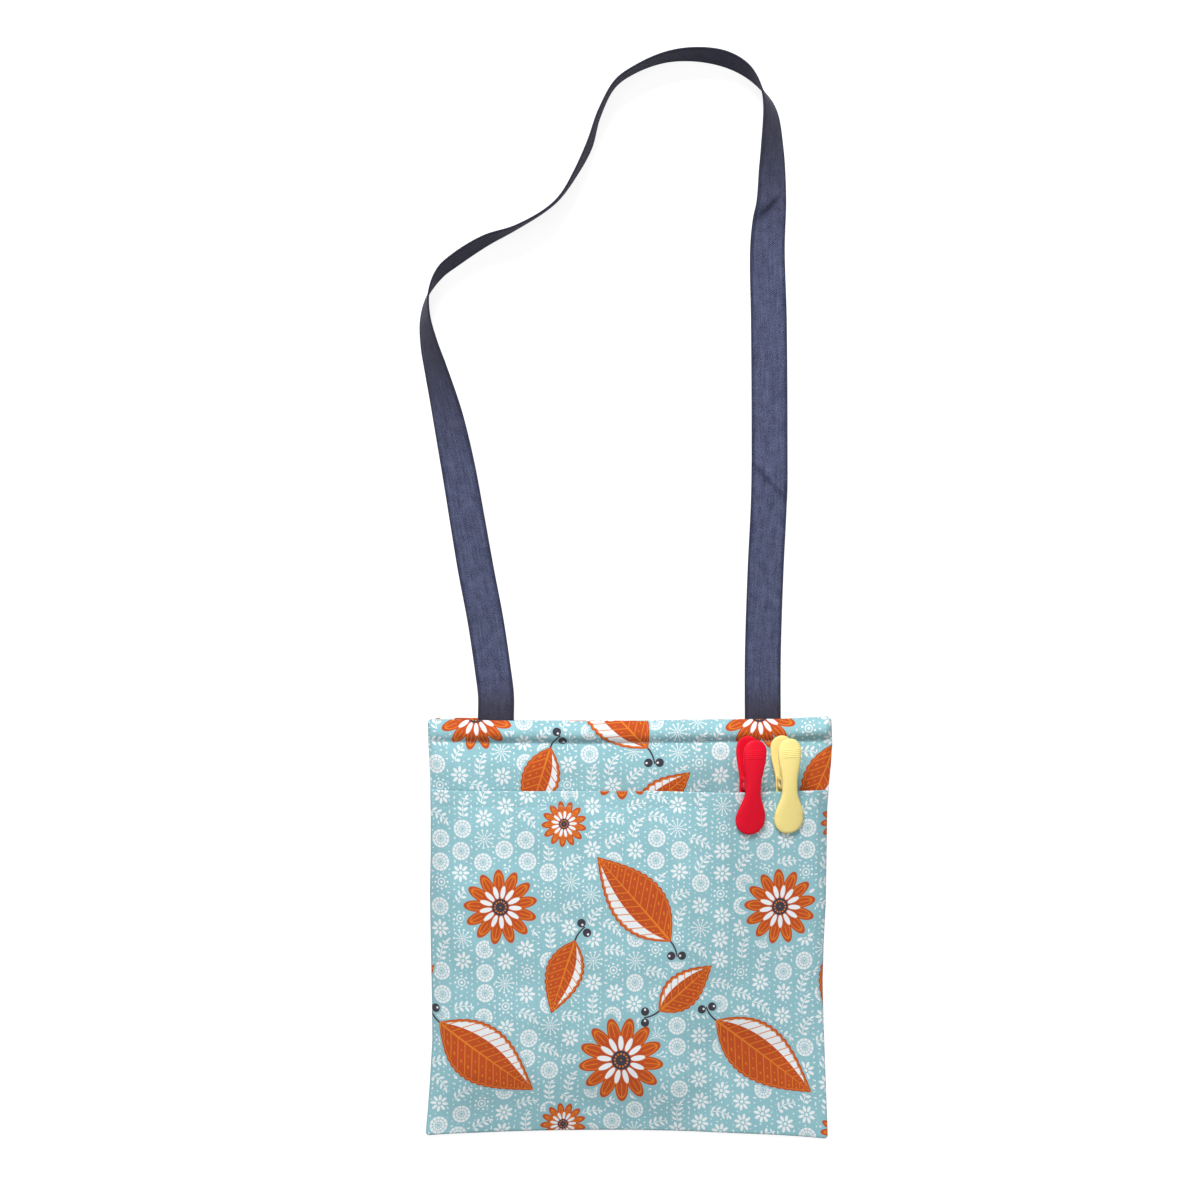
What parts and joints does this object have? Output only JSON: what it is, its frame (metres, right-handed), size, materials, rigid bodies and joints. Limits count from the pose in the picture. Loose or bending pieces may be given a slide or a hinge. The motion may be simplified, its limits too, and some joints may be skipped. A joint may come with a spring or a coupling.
{
  "type": "peg bag",
  "caption": "Flat printed-cotton peg bag lying on its back, with an open top, a wide front pocket, a long webbing shoulder strap and sprung clothes pegs clipped on the pocket.",
  "frame": {"origin": "middle of the bag's back, on the surface that it lies on", "axes": "+X to the right of the bag's front, +Y up the bag towards its mouth and strap, +Z out of its front"},
  "size_m": [0.3429, 0.8986, 0.0446],
  "materials": {
    "printed_cotton": "plain-weave cotton with a printed pattern",
    "strap_webbing": "herringbone cotton webbing",
    "red_plastic": "soft-touch moulded plastic",
    "yellow_plastic": "soft-touch moulded plastic",
    "peg_steel": "zinc-plated spring steel"
  },
  "bodies": {
    "bag": {"back_panel": "printed_cotton", "front_panel": "printed_cotton", "pocket_panel": "printed_cotton", "strap_end_left": "strap_webbing", "strap_end_right": "strap_webbing"},
    "strap": {"shoulder_strap": "strap_webbing"},
    "red_peg": {"red_peg_back_arm": "red_plastic", "red_peg_pin": "peg_steel", "red_peg_spring": "peg_steel"},
    "red_peg_front": {"red_peg_front_arm": "red_plastic"},
    "yellow_peg": {"yellow_peg_back_arm": "yellow_plastic", "yellow_peg_pin": "peg_steel", "yellow_peg_spring": "peg_steel"},
    "yellow_peg_front": {"yellow_peg_front_arm": "yellow_plastic"}
  },
  "joints": [
    {"name": "strap_fold", "type": "hinge", "parent": "bag", "child": "strap", "pos_m": [0, 0.174, -0.0003], "axis": [1, 0, 0], "range_deg": [-180, 0]},
    {"name": "red_pull_off", "type": "slide", "parent": "bag", "child": "red_peg", "axis": [0.0268, 0.9939, 0.1074], "range_m": [0, 0.045]},
    {"name": "red_squeeze", "type": "hinge", "parent": "red_peg", "child": "red_peg_front", "pos_m": [0.09877, 0.12186, 0.02866], "axis": [-0.9667, -0.0016, 0.2557], "range_deg": [0, 18], "stiffness_Nm_per_rad": 0.02, "springref_deg": -20.05, "deforming": ["red_peg_spring"]},
    {"name": "yellow_pull_off", "type": "slide", "parent": "bag", "child": "yellow_peg", "axis": [-0.0305, 0.996, 0.0841], "range_m": [0, 0.045]},
    {"name": "yellow_squeeze", "type": "hinge", "parent": "yellow_peg", "child": "yellow_peg_front", "pos_m": [0.12928, 0.12191, 0.0193], "axis": [-0.9642, -0.0515, 0.2602], "range_deg": [0, 18], "stiffness_Nm_per_rad": 0.02, "springref_deg": -20.05, "deforming": ["yellow_peg_spring"]}
  ]
}
